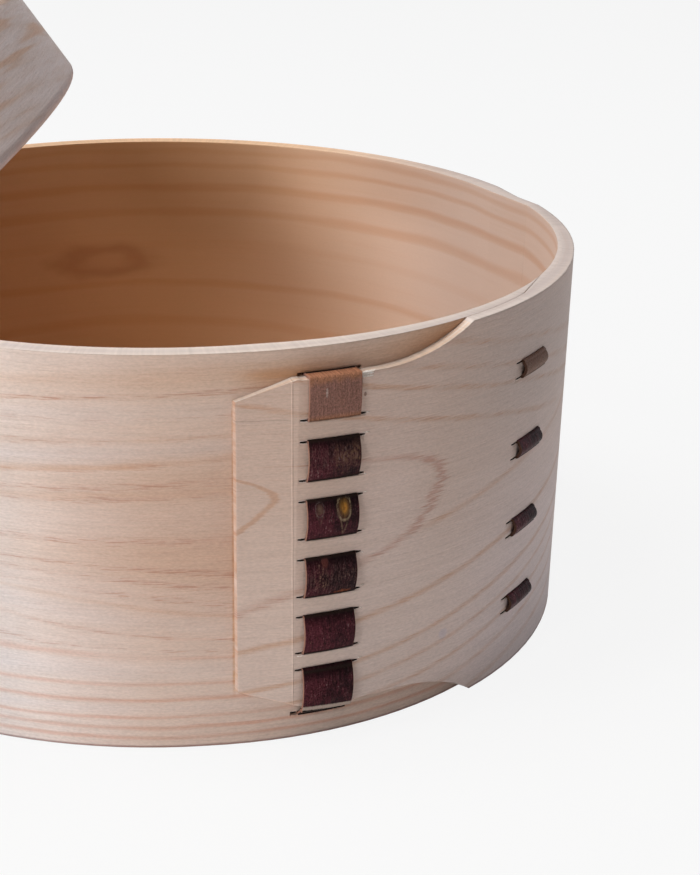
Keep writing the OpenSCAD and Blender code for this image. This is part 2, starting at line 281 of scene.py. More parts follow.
# Near black, painted as shade on the slots' walls and behind the lips.
SLOT_PAINTED_SHADE = (0.035, 0.02, 0.017)
WOOD_ROUGH, WOOD_SPECULAR = 0.62, 0.2
# Depth of the grain and radius of eased edges, in metres.
HOOP_GRAIN, WOOD_GRAIN = 0.00007, 0.00006
EASED, LID_EASED = 0.0004, 0.0014

# Tints that multiply the wood: the year rings' lines and the bands between them.
ORANGE_LINE = (0.89, 0.755, 0.65)
PINK_LINE = (0.91, 0.715, 0.645)
RED_LINE = (0.80, 0.645, 0.595)
WARM_TINT = (0.96, 0.89, 0.82)
COOL_TINT = (0.98, 1.02, 1.07)

# Tints of the outer face: beside the tongue, further left with painted sheen, and on the lap, whose foot and
# right end get painted light from the floor.
TONGUE_TINT = (0.90, 0.80, 0.75)
SHEEN_TINT = (1.03, 1.09, 1.12)
PATCH_TINT = (1.05, 1.07, 1.09)
GREY_TINT = (0.92, 0.93, 0.94)
LEFT_SHEEN_TINT = (1.008, 1.035, 1.07)
LAP_TINT = (0.945, 0.915, 0.915)
PAST_LACING_TINT = (1.015, 1.04, 1.08)
LAP_FOOT_LIGHT_TINT = (1.03, 1.03, 1.03)
ARCH_TINT = (1.06, 1.07, 1.09)
LAP_RIGHT_LIGHT_TINT = (1.05, 1.06, 1.09)

# Tints of marks on the lap and of the strip that shows beside it, among them painted shade, painted shadow
# and a painted highlight.
LAP_TOP_SHADE_TINT = (0.88, 0.90, 0.91)
SMUDGE_TINT = (0.84, 0.89, 1.03)
STAIN_AND_SHADOW_TINT = (0.86, 0.66, 0.46)
SLANT_HIGHLIGHT_TINT = (1.13, 1.1, 1.07)
SLANT_SHADOW_TINT = (0.88, 0.78, 0.72)
SWOOP_TINT = (0.98, 0.82, 0.66)
NICK_TINT = (0.35, 0.25, 0.22)

# Tints of the inner face: its right end, painted shade at the back, painted light at its foot, painted shade
# under the rim, its bands and its knot.
LINING_END_TINT = (0.84, 0.85, 0.87)
LINING_BACK_SHADE_TINT = (0.87, 0.85, 0.83)
LINING_FOOT_LIGHT_TINT = (1.12, 1.08, 1.0)
LINING_RIM_SHADE_TINT = (0.88, 0.85, 0.83)
LINING_BAND_TINT = (0.90, 0.76, 0.66)
KNOT_TINT = (0.75, 0.61, 0.56)

# Tints of the rim and of cut faces. The rim gets painted shade on the right, a painted warm glow at the back
# and painted light at the front left.
STRIPE_TINT = (0.93, 0.76, 0.63)
RIM_RIGHT_SHADE_TINT = (0.87, 0.86, 0.88)
RIM_BACK_GLOW_TINT = (1.25, 0.95, 0.66)
RIM_LEFT_LIGHT_TINT = (1.08, 1.1, 1.14)
CUT_TINT = (0.84, 0.66, 0.52)
# A thin painted contact shadow along the hoop's foot.
FOOT_SHADOW_TINT = (0.58, 0.48, 0.48)

# Tints of the lid: its streaks, painted light on its faces that look down its own axis and painted shade on
# those that look up it.
LID_STREAK_TINT = (0.93, 0.79, 0.68)
LID_DOWN_LIGHT_TINT = (1.28, 1.22, 1.17)
LID_UP_SHADE_TINT = (0.78, 0.74, 0.70)

# Year rings beside the tongue: height there in millimetres, half width and strength.
EVEN_RINGS = [(1.7, 0.5, 0.9), (3.5, 0.5, 0.95), (5.3, 0.45, 0.75), (8.2, 0.55, 0.9), (10.8, 0.55, 0.6),
              (15.0, 0.7, 0.55), (18.4, 0.4, 0.4), (22.7, 0.6, 0.5), (42.0, 0.9, 0.5), (46.9, 0.8, 0.95),
              (50.6, 0.45, 0.5), (57.2, 0.5, 0.35), (60.0, 1.4, 0.3)]
BROKEN_RINGS = [(16.2, 0.4, 0.8), (18.4, 0.45, 0.9), (24.6, 0.8, 0.7), (27.0, 0.8, 0.8), (29.3, 0.8, 0.9),
                (34.3, 0.9, 0.9), (41.4, 0.6, 0.7), (43.4, 0.9, 0.8), (46.6, 0.6, 0.5), (50.6, 0.45, 0.8),
                (53.6, 0.6, 0.4), (57.2, 0.6, 1.0)]
# How fast the rings climb towards the left, by height, and over which stretch they do.
RING_CLIMB = [(0, 0.0), (11, 0.0), (16, 0.04), (20, 0.10), (25, 0.13), (30, 0.07), (34, 0.0), (41, -0.04),
              (47, -0.07), (51, -0.03), (57, -0.05), (63, -0.04)]
CLIMB_FROM, CLIMB_TO = -25.0, 42.0
# Warm and cool bands between the rings, up to BAND_TOP.
WARM_BANDS = [(31.0, 6.5, 0.75), (43.5, 4.5, 0.6), (59.5, 3.6, 0.8)]
COOL_BANDS = [(13.0, 2.2, 0.6), (20.6, 1.8, 0.5), (6.8, 1.2, 0.5), (49.0, 1.8, 0.9), (54.5, 2.2, 0.5)]
BAND_TOP = 64

# On the lap, two arches point to the right: how far each reaches along the lap, by height, the second one's
# half width, and the heights between which they are drawn.
FIRST_ARCH = [(34.5, 1.0), (36.8, 4.3), (39.0, 6.9), (40.9, 8.2), (42.8, 6.0), (43.9, 3.2), (45.0, -1.0)]
SECOND_ARCH = [(20.5, -4.0), (22.8, 3.6), (25.3, 10.7), (28.4, 22.0), (32.5, 31.2), (37.0, 35.4),
               (40.2, 36.8), (42.5, 35.0), (44.3, 29.5), (45.3, 21.5), (46.0, 10.0)]
SECOND_HALF = [(20.5, 3.6), (28.4, 3.2), (32.5, 2.2), (37.0, 1.6), (40.2, 1.7), (42.5, 2.4), (44.3, 4.5),
               (46.0, 8.0)]
FIRST_HEIGHTS, SECOND_HEIGHTS = (35.2, 44.6), (21.0, 45.9)
# Straight rings over and under the arches, by height at the lap's left end. One more starts further right.
UPPER_SLOPE, UPPER_RANGE = -0.2, (50, 75)
UPPER_RINGS = [(56.4, 0.7, 0.8), (61.3, 0.7, 0.8), (64.5, 0.8, 0.5), (68.5, 0.9, 0.5)]
LOWER_SLOPE, LOWER_RANGE = 0.168, (-20, 30)
LOWER_RINGS = [(-12.5, 0.8, 0.5), (-7.0, 0.8, 0.5), (-2.5, 0.7, 0.5), (1.3, 0.6, 0.7), (4.8, 0.6, 0.75),
               (8.4, 0.7, 0.9), (15.6, 0.8, 0.9)]
BRANCH_LEVEL, BRANCH_HALF, BRANCH_STRENGTH = 26.5, 0.9, 0.6

# Soft bands and a buried knot on the inner face.
INNER_BANDS = [(61.6, 0.9, 0.5), (58.8, 0.9, 0.6), (54.2, 1.4, 0.75), (48.8, 1.7, 0.65), (41.5, 2.0, 0.2),
               (32.6, 1.3, 0.6), (24.0, 1.8, 0.5), (15.0, 2.2, 0.4), (10.0, 1.5, 0.4)]
KNOT_AZ, KNOT_Z = 99.4, 37.8
KNOT_HALF = (9.2, 2.9)

# Slots along the lap, from end to end, and the heights between which the lacing and the lowest slot lie.
FRONT_SLOTS, SIDE_SLOTS = (11.7, 22.5), (54.4, 65.0)
LACED_HEIGHTS, LOWEST_SLOT = (8.0, 55.0), (3.0, 4.7)

# A line scribed down the tongue, by distance along the lap, and its lean. A fine crack left of it, by
# height, and its lean.
SCRIBED_U, SCRIBED_LEAN = 11.8, -0.021
CRACK_Z, CRACK_LEAN = 53.2, 0.02
LINE_HALF = 0.16
# A smudge and a nick on the lap: middle and half sizes.
SMUDGE_AT, SMUDGE_HALF = (38.9, 12.3), (1.1, 1.0)
NICK_AT, NICK_HALF = (22.0, 55.6), (0.22, 0.35)
# The tongue's slanted lower edge: a point on it and how fast it falls to the right.
SLANT_AT, SLANT_SLOPE = (3.37, 9.35), 0.3355
# The strip beside the lap is marked only at the front, left of this azimuth.
BESIDE_LAP_AZ = -30.0
# Below this height a face that looks up belongs to the lap's swoop, not the rim.
SWOOP_TOP = 62.9
# Closer to a face than this counts as on it.
SKIN = 0.15
# Points of a curve that are closer than this become one.
POINT_GAP = 0.12


def hump_points(places):
    """Curve points for a set of lines, each with a place, a half width and a strength."""
    points = []
    for place, half, strength in places:
        points += [(place - half, 0.0), (place, strength), (place + half, 0.0)]
    kept = []
    for place, value in sorted(points):
        if not kept or place - kept[-1][0] > POINT_GAP:
            kept.append((place, value))
        elif value > kept[-1][1]:
            kept[-1] = (kept[-1][0], value)
    return kept


def rings(s, at, places, low, high):
    """Strength of a set of lines at a coordinate."""
    inside = [p for p in hump_points(places) if low < p[0] < high]
    return s.curve(at, [(low, 0.0), *inside, (high, 0.0)]).math("MAXIMUM", 0.0)


def between(field, limits):
    """1 where a field lies between two limits."""
    return field.above(limits[0]) * field.below(limits[1])


class Fibres:
    """Streaks of several sizes that run along a strip."""

    def __init__(self, s, along, up, seed=0.0):
        self.soft = s.noise(along * 0.03, up * 0.9, 3.1 + seed, 3.0, 0.6)
        self.thin = s.noise(along * 0.12, up * 3.2, 7.7 + seed, 2.0, 0.65)
        self.speck = s.noise(along * 1.6, up * 4.0, 5.2 + seed, 1.0, 0.6)
        self.dash = s.noise(along * 0.3, up * 4.6, 1.3 + seed, 1.0).fade(0.02, 0.17)

    def grain(self):
        return 1.0 + self.thin * 0.22 + self.soft * 0.08 + self.speck * 0.30

    def finish(self, s, wood, height, distance, bevel):
        """Ends a wood material."""
        return s.finish(wood, WOOD_ROUGH + self.thin * 0.2, height, distance, WOOD_SPECULAR, bevel)


class Hoop:
    """Places on the box's hoop: az around it, z up, u along the lap and turn along the strip."""

    def __init__(self, s):
        self.s = s
        self.x, self.y, self.z = s.object_mm()
        self.r, self.az = s.radius(self.x, self.y), s.azimuth(self.x, self.y)
        (back, back_r), (seam, seam_r), (hollow, hollow_r) = lap_circles(BOX_R, BOX_WALL)
        self.u = (s.azimuth(self.x, self.y, back) - LAP_ZERO_AZ) * (back_r * math.pi / 180)
        self.lap_r = s.radius(self.x, self.y, back)
        self.off_lap = self.lap_r - back_r
        off_hollow = s.radius(self.x, self.y, hollow) - hollow_r
        self.depth = (self.r - (BOX_R - BOX_WALL)).math("MINIMUM", off_hollow)
        self.inside = self.depth.below(SKIN)
        self.normal = s.object_normal()

        beyond_seam = s.radius(self.x, self.y, seam).above(seam_r + 0.03)
        self.over = beyond_seam * between(self.az, (SEAM_START_AZ - 0.7, STEP_AZ))
        round_az = self.az.wrapped(STEP_AZ)
        self.turn = round_az + self.over * (self.az - round_az)
        self.along = self.turn * DEG_MM
        self.left = (TONGUE_TURN - self.turn) * DEG_MM
        self.on_lap = self.over * self.turn.fade(STEP_AZ - 0.5, -6.0)
        self.body = 1.0 - self.on_lap
        self.beside_lap = (1.0 - self.over) * self.az.below(BESIDE_LAP_AZ)
        self.inner_az = self.az.wrapped(INNER_END_AZ)
        self.inner_along = self.inner_az * DEG_MM
        self.fibres = Fibres(s, self.along, self.z)


def body_rings(h):
    """The level that rings follow on the hoop's body, and the strength of even and of broken rings."""
    s, z = h.s, h.z
    climb = s.curve(z, RING_CLIMB, base=-0.5) * h.left.math("MAXIMUM", CLIMB_FROM).math("MINIMUM", CLIMB_TO)
    sway = s.noise(h.along * 0.02, z * 0.045, 5.5, 1.0) * 3.0 * h.left.fade(30.0, 80.0)
    wander = s.noise(h.along * 0.06, z * 0.3, 8.5, 1.0) * 0.8
    level = z - climb + sway + wander + h.fibres.thin * 0.5
    patch = s.noise(h.along * 0.05, z * 0.14, 2.7, 2.0, 0.6).fade(-0.14, 0.12) * 0.6 + 0.4
    even = rings(s, level, EVEN_RINGS, 0, BOX_H) * h.body * patch.math("MAXIMUM", z.fade(16.0, 10.0))
    broken = rings(s, level, BROKEN_RINGS, 0, BOX_H) * h.body * patch
    return level, even, broken


def lap_rings(h):
    """Strength of the rings on the lap: two arches, and straight lines over and under them."""
    s, u, z, fibres = h.s, h.u, h.z, h.fibres
    ragged = fibres.thin * 7.0 + s.noise(u * 0.1, z * 0.35, 6.6, 1.0) * 3.0
    first = u + ragged * 0.15 - s.curve(z, FIRST_ARCH, base=-1.0, span=10.0)
    first = first.bump(0.0, 1.1) * between(z, FIRST_HEIGHTS)
    second = u + ragged - s.curve(z, SECOND_ARCH, base=-4.0, span=42.0)
    second = second.bump(0.0, s.curve(z, SECOND_HALF, span=10.0)) * between(z, SECOND_HEIGHTS)
    sway = s.noise(u * 0.03, z * 0.06, 4.2, 1.0) * 1.6 + fibres.thin * 0.7
    upper = rings(s, z - u * UPPER_SLOPE + sway, UPPER_RINGS, *UPPER_RANGE)
    upper = upper * z.fade(40.0, 44.0) * (fibres.soft * 2.4 + 0.7)
    lower_level = z - u * LOWER_SLOPE + sway
    lower = rings(s, lower_level, LOWER_RINGS, *LOWER_RANGE)
    branch = lower_level.bump(BRANCH_LEVEL, BRANCH_HALF) * BRANCH_STRENGTH * u.fade(30.0, 36.0)
    return first * 1.2 * h.on_lap, second * h.on_lap, (upper + lower + branch) * h.on_lap


def slot_walls(h):
    """1 on the walls of the slots that the bark runs through, which are painted dark as shade."""
    front, side = between(h.u, FRONT_SLOTS), between(h.u, SIDE_SLOTS)
    laced = (front + side) * h.off_lap.below(-SKIN) * between(h.z, LACED_HEIGHTS)
    lowest = front * (h.r - BOX_R).below(-2 * SKIN) * between(h.z, LOWEST_SLOT)
    return (laced + lowest).math("MINIMUM", 1.0)


def outer_tones(h):
    """The outer face before its lines: pale at the foot, whiter to the left with painted sheen, warm beside
    the tongue, pinker on the lap with painted floor light at its foot and right end.
    """
    u, z, left, body, on_lap = h.u, h.z, h.left, h.body, h.on_lap
    # Paler towards the foot, and paler to the left as painted sheen.
    pale = z.fade(45.0, 2.0) * 0.75 + left.fade(5.0, 50.0) * body * 0.6 + h.fibres.soft * 0.5
    wood = h.s.mix(pale.math("MAXIMUM", 0.0), HEARTWOOD, PALE_WOOD_AND_SHEEN)
    far_left = left.fade(90.0, 50.0) * body
    # Painted sheen whitens the left, and painted light from the floor brightens the lap's foot and right
    # end.
    return h.s.tinted(wood, [
        (left.fade(38.0, -8.0) * (z.bump(33.0, 24.0) * 0.6 + 0.4) * body, TONGUE_TINT),
        (left.fade(12.0, 45.0) * left.fade(120.0, 60.0) * body, SHEEN_TINT),
        (left.bump(27.0, 17.0) * z.fade(52.0, 36.0) * body, PATCH_TINT),
        (on_lap, LAP_TINT),
        (on_lap * u.fade(14.0, 24.0), PAST_LACING_TINT),
        (on_lap * u.fade(22.0, 34.0) * z.fade(30.0, 15.0), LAP_FOOT_LIGHT_TINT),
        (on_lap * u.bump(28.0, 9.0) * z.bump(38.0, 20.0), ARCH_TINT),
        (left.fade(22.0, 30.0) * far_left * z.fade(58.0, 44.0), GREY_TINT),
        (left.fade(4.0, 14.0) * far_left, LEFT_SHEEN_TINT),
        (on_lap * u.fade(26.0, 58.0) * z.fade(44.0, 18.0), LAP_RIGHT_LIGHT_TINT),
    ])


def ring_lines(h, wood, on_body, on_lap):
    """Draws the bands, the rings and the flecks on the outer face."""
    u, z, soft, dash = h.u, h.z, h.fibres.soft, h.fibres.dash
    level, even, broken = on_body
    first, second, straight = on_lap
    near_tongue = h.left.fade(45.0, 0.0) * h.body
    warm = rings(h.s, level, WARM_BANDS, 0, BAND_TOP) * (near_tongue * 0.9 + 0.1) * h.body
    cool = rings(h.s, level, COOL_BANDS, 0, BAND_TOP) * h.body + u.fade(34.0, 60.0) * h.on_lap * 0.8
    low = z.fade(26.0, 16.0) * h.body
    uneven = 1.0 + soft * 2.0
    flecks = (broken * 1.25 + straight * 0.22) * (dash * 0.8 + 0.2) + dash * (h.body * 0.1 + 0.05)
    return h.s.tinted(wood, [
        (warm, WARM_TINT),
        (cool, COOL_TINT),
        ((even * (1.0 - low) + straight * (dash * 0.5 + 0.85) + first) * uneven, ORANGE_LINE),
        (even * low * uneven, PINK_LINE),
        (second * (dash * 0.5 + 0.5 + u.fade(26.0, 34.0) * 0.35), RED_LINE),
        (flecks, RED_LINE),
    ])


def lap_marks(h, wood):
    """Marks on the lap with painted shade at its top right and a painted highlight on the slanted edge, and
    stains and painted shadows on the strip beside its ends.
    """
    u, z = h.u, h.z
    smudge = (oval(u, z, SMUDGE_AT, SMUDGE_HALF) + h.fibres.thin * 2.0).fade(1.2, 0.3)
    nick = oval(u, z, NICK_AT, NICK_HALF).fade(1.3, 0.6)
    under_end = (u + z * 0.012).bump(2.9, 0.45) * z.fade(7.0, 12.0) * z.fade(57.0, 54.0)
    over_slant = u.fade(24.0, 12.0) * u.fade(0.0, 8.0) * z.bump(59.4, 2.6)
    # Partly a stain, partly painted shadow beside the tongue's end and above its slanted top edge.
    stain_and_shadow = (under_end * 0.85 + over_slant * 0.7) * h.beside_lap
    slant = z + (u - SLANT_AT[0]) * SLANT_SLOPE - SLANT_AT[1]
    by_slant = u.fade(3.2, 3.6) * u.fade(13.0, 12.2)
    by_swoop = u.fade(22.0, 40.0) * u.fade(50.0, 46.0) * z.above(52.0) * h.beside_lap
    # Painted shade at the lap's top right, and a painted highlight along the tongue's slanted lower edge
    # with painted shadow below it.
    return h.s.tinted(wood, [
        (u.fade(28.0, 60.0) * z.fade(36.0, 52.0) * h.on_lap, LAP_TOP_SHADE_TINT),
        (smudge * h.on_lap * 0.7, SMUDGE_TINT),
        (stain_and_shadow * (1.0 + h.fibres.soft * 3.0), STAIN_AND_SHADOW_TINT),
        (slant.bump(0.12, 0.2) * by_slant * h.over, SLANT_HIGHLIGHT_TINT),
        (slant.bump(-0.4, 0.45) * by_slant * (1.0 - h.over), SLANT_SHADOW_TINT),
        (by_swoop, SWOOP_TINT),
        (nick * h.on_lap * 0.8, NICK_TINT),
    ])


def lining_wood(h):
    """The inner face: orange at the back, paler to the right partly as painted light, with painted shade at
    the back and under the rim, painted light at its foot, soft bands and a buried knot.
    """
    s, z, az, inner_az, along = h.s, h.z, h.az, h.inner_az, h.inner_along
    sway = s.noise(along * 0.012, z * 0.05, 3.3, 1.0) * 3.0 + s.noise(along * 0.06, z * 0.3, 8.5, 1.0) * 1.2
    bands = rings(s, z + sway, INNER_BANDS, 0, BOX_H)
    soft = s.noise(along * 0.03, z * 0.9, 3.1, 3.0, 0.6)
    knot_r = oval((az - KNOT_AZ) * DEG_MM, z, (0.0, KNOT_Z), KNOT_HALF).math("SQRT")
    knot_r = knot_r + s.noise(along * 0.14, z * 0.35, 6.1, 1.0) * 0.8
    knot = knot_r.bump(0.95, 0.7) * 0.6 + knot_r.fade(1.5, 0.5) * 0.3
    right = inner_az.fade(75.0, 50.0)
    # Paler on the right: partly the wood's own tone, partly painted light.
    lining = s.mix(inner_az.fade(30.0, 95.0) * inner_az.fade(325.0, 245.0), INNER_PALE_AND_LIT, INNER_WARM)
    # Painted shade at the back and under the rim, painted light at the foot on the right.
    return s.tinted(lining, [
        (inner_az.fade(45.0, 25.0), LINING_END_TINT),
        (az.bump(82.0, 22.0) * (z.fade(36.0, 58.0) * 1.2 + 0.6), LINING_BACK_SHADE_TINT),
        (z.fade(40.0, 12.0) * right, LINING_FOOT_LIGHT_TINT),
        (az.bump(42.0, 18.0) * z.fade(48.0, 57.0), LINING_RIM_SHADE_TINT),
        (bands * (right * 0.35 + 0.8) + soft * 0.6, LINING_BAND_TINT),
        (knot * 0.9, KNOT_TINT),
    ])


def rim_wood(h):
    """Faces that look up: the rim, with painted light and shade, and the lap's swoop below it."""
    s, az = h.s, h.az
    swoop = h.z.below(SWOOP_TOP)
    stripe = s.noise(h.lap_r * 2.3, h.along * 0.05, 4.0, 2.0, 0.6)
    # Painted highlights along the rim's edges.
    rim = s.mix(h.depth.bump(1.7, 1.6), EDGE_HIGHLIGHT, EDGE_WOOD)
    # Painted shade on the right, a painted warm glow at the back and painted light at the front left.
    return s.tinted(rim, [
        ((stripe + 0.05) * (swoop * 2.8 + 0.8) + swoop * 0.3, STRIPE_TINT),
        (az.fade(-70.0, -30.0) * az.fade(60.0, 30.0) * (1.0 - swoop), RIM_RIGHT_SHADE_TINT),
        (az.fade(20.0, 75.0) * az.fade(179.0, 150.0), RIM_BACK_GLOW_TINT),
        (az.fade(-88.0, -112.0) * az.fade(-179.0, -150.0), RIM_LEFT_LIGHT_TINT),
    ])


def cut_marks(h, wood):
    """Browns the tongue's cut end and paints a thin contact shadow along the hoop's foot."""
    nx, ny, nz = h.normal
    facing_out = ((nx * h.x + ny * h.y) / h.r).size()
    outside = 1.0 - h.inside
    cut_end = facing_out.below(0.6) * nz.size().below(0.6) * h.az.below(-70.0) * outside
    mottle = h.s.noise(h.z * 0.35, 1.0, 2.0, 3.0, 0.7) * 3.0 + 0.45
    return h.s.tinted(wood, [(cut_end * mottle, CUT_TINT), (h.z.fade(0.5, 0.15) * outside, FOOT_SHADOW_TINT)])


def hoop_wood():
    """The box's hoop: outer face, lining, rim and slots, told apart by place."""
    s = Shader("hoop_wood")
    h = Hoop(s)
    u, z, fibres = h.u, h.z, h.fibres
    on_body, on_lap = body_rings(h), lap_rings(h)
    wood = lap_marks(h, ring_lines(h, outer_tones(h), on_body, on_lap))
    wood = s.mix(h.inside, wood, lining_wood(h))
    wood = s.mix(h.normal[2].size().fade(0.5, 0.8), wood, rim_wood(h))
    wood = cut_marks(h, wood)

    scribed = (u - z * SCRIBED_LEAN - SCRIBED_U).bump(0.0, LINE_HALF) * h.on_lap
    crack = (z + u * CRACK_LEAN - CRACK_Z + fibres.thin * 0.3).bump(0.0, LINE_HALF)
    crack = crack * u.fade(10.8, 9.5) * h.on_lap
    plain = 1.0 - h.inside * 0.8
    wood = s.shaded(wood, (fibres.grain() - 1.0) * plain + 1.0 + scribed * 0.14 - crack * 0.22)
    # Painted shade on the slots' walls.
    wood = s.mix(slot_walls(h), wood, SLOT_PAINTED_SHADE)

    lines = on_body[1] + on_lap[2] + on_lap[1]
    height = fibres.thin * 0.6 + fibres.speck * 0.3 - lines * 0.3 - fibres.dash * 0.2 + scribed
    return fibres.finish(s, wood, height * plain, HOOP_GRAIN, EASED)


def lid_wood(placed):
    """The lid's hoop, with slanted streaks."""
    s = Shader("lid_wood")
    x, y, z = s.object_mm(placed)
    along = s.azimuth(x, y) * (LID_R * math.pi / 180)
    fibres = Fibres(s, along, z, 20.0)
    streak = s.noise(along * 0.03, (z + along * 0.14) * 0.4, 9.1, 2.0, 0.6)
    axis = placed.to_3x3().col[2]
    end_on = sum((n * a for n, a in zip(s.object_normal(), axis)), start=0.0)
    # Painted light on faces that look down the lid's axis, painted shade on those that look up it.
    wood = s.tinted(s.mix(streak.fade(-0.2, 0.15), LID_PALE, LID_DARK), [
        (streak.fade(0.02, 0.16), LID_STREAK_TINT),
        (end_on.fade(-0.4, -0.8), LID_DOWN_LIGHT_TINT),
        (end_on.fade(0.4, 0.8), LID_UP_SHADE_TINT),
        (fibres.dash * 0.3, RED_LINE),
    ])
    return fibres.finish(s, s.shaded(wood, fibres.grain()), fibres.thin, WOOD_GRAIN, LID_EASED)


def plate_wood(name, placed=None):
    """A flat board with rings across it."""
    s = Shader(name)
    x, y, _ = s.object_mm(placed)
    fibres = Fibres(s, x, y * 0.7, 40.0)
    level = y + s.noise(x * 0.006, y * 0.02, 2.0, 1.0) * 14.0 + s.noise(1.0, y * 0.045, 6.0, 1.0) * 26.0
    ring = (level * 0.6 + fibres.thin * 0.8).math("SINE").fade(0.2, 1.0) * (fibres.soft * 1.6 + 0.7)
    wood = s.tinted(PLATE_WOOD, [(ring * 0.8, ORANGE_LINE), (fibres.dash * 0.3, RED_LINE)])
    return fibres.finish(s, s.shaded(wood, fibres.grain()), fibres.thin, WOOD_GRAIN, EASED)


# Bark colours, as linear reflectance.
RED_BARK = (0.078, 0.018, 0.025)
BLACK_BARK = (0.020, 0.0075, 0.0095)
OLIVE_BARK = (0.15, 0.085, 0.05)
WORN_BARK = (0.14, 0.085, 0.07)
PALE_FLECK = (0.34, 0.27, 0.25)
RUST_FLAKE = (0.30, 0.085, 0.035)
FLAP_BARK = (0.10, 0.03, 0.025)
SCAR_BARK = (0.24, 0.13, 0.08)
UNDER_BARK = (0.43, 0.34, 0.29)
# Near black: dark cracks in the bark, and painted shade in the slits where the bark enters the slots.
SLIT_SHADE_AND_CRACK = (0.018, 0.010, 0.008)
CUT_BARK = (0.29, 0.15, 0.11)
# Dull brown: the cut edges of dull lacings, and painted shade at a lock's foot.
DULL_CUT_AND_SHADE = (0.075, 0.038, 0.026)
PINK_BARK = (0.24, 0.12, 0.094)
ORANGE_BARK = (0.36, 0.16, 0.088)
GREY_BARK, BROWN_BARK = (0.2, 0.12, 0.09), (0.18, 0.10, 0.075)
LOCK_FLECK = (0.5, 0.38, 0.33)
LOCK_SCRATCH = (0.55, 0.45, 0.40)
BROWN_EYE_SKIN, BROWN_EYE_TAIL = (0.13, 0.08, 0.055), (0.22, 0.15, 0.11)
YELLOW_EYE_SKIN, YELLOW_EYE_CORE = (0.17, 0.09, 0.03), (0.52, 0.22, 0.035)
YELLOW_EYE_RIM, YELLOW_EYE_TAIL = (0.38, 0.28, 0.17), (0.26, 0.18, 0.11)
BARK_SPECULAR, BARK_GRAIN = 0.03, 0.00016

# Foot of the second front stitch, the stitches' spacing, and a stitch's height.
STITCH_FOOT, STITCH_PITCH, STITCH_TALL = 43.18, 9.357, 6.46
# Middles of the second and the fourth front stitch, and how far their wear reaches up and down.
SECOND_Z, FOURTH_Z, WEAR_HALF = 47.2, 27.6, 4.2
# How red each front stitch is, by height.
FRONT_REDNESS = [(0, 0.42), (12, 0.45), (16, 0.5), (21, 0.52), (24, 0.22), (31, 0.25), (34, 0.46),
                 (40, 0.30), (43, 0.42), (50, 0.34), (63, 0.3)]
# Branch eyes on the third front stitch: place across and up, half width and half height.
BROWN_EYE = (-2.2, 38.9, 0.62, 1.0)
YELLOW_EYE = (1.65, 38.7, 1.0, 1.75)
# Marks on the fourth front stitch, likewise.
FLAP, CHIP, SCAR = (-1.1, 30.3, 0.6, 1.0), (1.9, 24.95, 1.4, 0.35), (-1.6, 27.6, 1.3, 2.2)
# Heights at which the lowest front stitch shows the bark's underside, and below that only a slit painted
# dark as shade.
UNDERSIDE_TOP, SLIT_TOP = 6.3, 5.55


class BarkStrip:
    """Coordinates and streaks of a bark strip: u across its width, z up."""

    def __init__(self, name, az, width, placed=None, r=BOX_R, wall=BOX_WALL):
        (back, back_r), (seam, seam_r), _ = lap_circles(r, wall)
        self.s = s = Shader(name)
        x, y, z = s.object_mm(placed)
        self.z = z
        self.u = u = (s.azimuth(x, y, back) - az) * (back_r * math.pi / 180)
        self.streak = s.noise(u * 2.4, z * 0.2, 2.0, 3.0, 0.6)
        self.mottle = s.noise(u * 0.5, z * 0.42, 5.0, 2.0, 0.6)
        self.grit = s.noise(u * 2.6, z * 1.8, 9.0, 2.0, 0.7)
        self.fleck = s.noise(u * 3.0, z * 0.55, 8.0, 2.0, 0.6).fade(0.15, 0.28)
        self.fine = s.noise(u * 4.6, z * 3.0, 3.0, 3.0, 0.75)
        self.line = s.noise(u * 3.7, z * 0.7, 1.0, 3.0, 0.75)
        self.broken = (self.grit + self.streak).fade(-0.25, 0.2)
        self.over_seam = s.radius(x, y, seam) - seam_r
        self.cut = (u.size() + self.grit * 0.1).above(width / 2 - 0.025)

    def oval(self, u, z, half_u, half_z, ragged=0.35):
        """Distance from a ragged oval's middle, 1 on its outline."""
        even = oval(self.u + self.fine * 0.35, self.z + self.grit * 0.9, (u, z), (half_u, half_z))
        return even.math("SQRT") + self.grit * ragged

    def tails(self, u, z, half_u, half_z, length):
        """Two lines that run from an oval's sides and meet below it."""
        down = (z - self.z) / (half_z * length)
        off = (self.u - u).size() - (1.0 - down) * half_u
        return off.bump(0.0, 0.22) * down.fade(0.0, 0.1) * down.fade(1.05, 0.95)

    def dark(self, redness):
        """Dark bark: from near black to red-brown."""
        s = self.s
        tone = self.u.fade(2.5, -4.0) * 0.4 + redness + self.mottle * 1.3
        tone = tone + self.streak * 0.9 + self.grit * 0.6
        colour = s.painted(s.mix(tone.fade(0.1, 1.0), BLACK_BARK, RED_BARK), [
            (self.grit.fade(0.08, 0.26) * 0.35, OLIVE_BARK),
            ((self.streak + self.grit * 0.5).fade(-0.08, -0.25) * 0.5, SLIT_SHADE_AND_CRACK),
        ])
        colour = s.shaded(colour, (1.05 + self.fine * 4.0 + self.line * 2.6).math("MAXIMUM", 0.2))
        pale = (self.line + self.fine * 0.8 + self.mottle * 0.5).fade(0.14, 0.34)
        return s.mix(pale * 0.6, colour, PALE_FLECK)

    def end(self, colour, roughness=0.42, cut=CUT_BARK):
        """Ends the material, with the strip's cut edges in their own colour."""
        colour = self.s.mix(self.cut, colour, cut)
        height = self.streak + self.mottle + self.grit * 0.5
        return self.s.finish(colour, roughness + self.streak * 0.25, height, BARK_GRAIN, BARK_SPECULAR)


